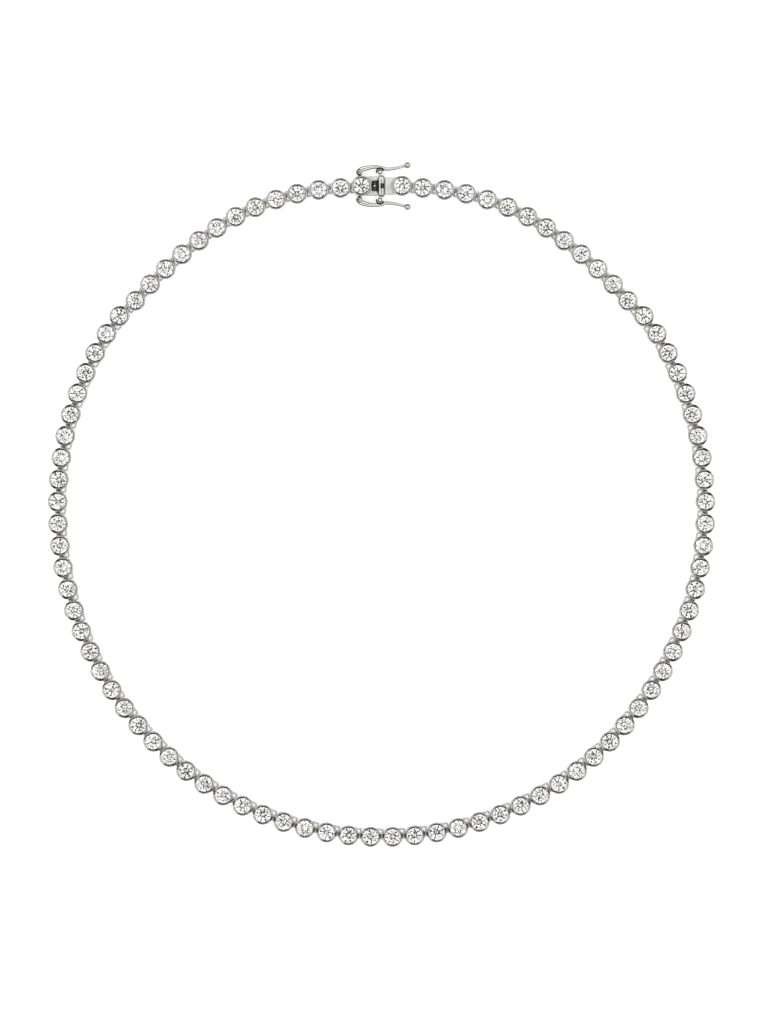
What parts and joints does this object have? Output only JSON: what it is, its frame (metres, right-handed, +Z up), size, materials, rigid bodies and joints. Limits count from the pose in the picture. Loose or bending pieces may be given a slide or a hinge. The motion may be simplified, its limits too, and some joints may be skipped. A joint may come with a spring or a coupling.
{
  "type": "riviere necklace",
  "caption": "Closed line of round stones in rub-over collets on interlocking links, with a box clasp and two safety catches, laid flat.",
  "frame": {"origin": "middle of the necklace's outline, on the surface that it lies on", "axes": "+Z up, out of the tables of the stones; +Y from the front of the line to the clasp at the nape; +X across the necklace, from the clasp's box to its tongue"},
  "size_m": [0.1416, 0.1454, 0.0029],
  "materials": {
    "white_gold": "polished white gold",
    "diamond": "polished colourless facets"
  },
  "bodies": {
    "necklace": {"chain": "white_gold", "stones": "diamond", "clasp_box": "white_gold", "clasp_tongue": "white_gold"},
    "outer_catch": {"catch_outer": "white_gold"},
    "inner_catch": {"catch_inner": "white_gold"}
  },
  "joints": [
    {"name": "outer_catch_hinge", "type": "hinge", "parent": "necklace", "child": "outer_catch", "pos_m": [-0.00478, 0.07047, 0.00138], "axis": [0, 0, 1], "range_deg": [0, 100]},
    {"name": "inner_catch_hinge", "type": "hinge", "parent": "necklace", "child": "inner_catch", "pos_m": [-0.00478, 0.06457, 0.00138], "axis": [0, 0, -1], "range_deg": [0, 100]}
  ]
}
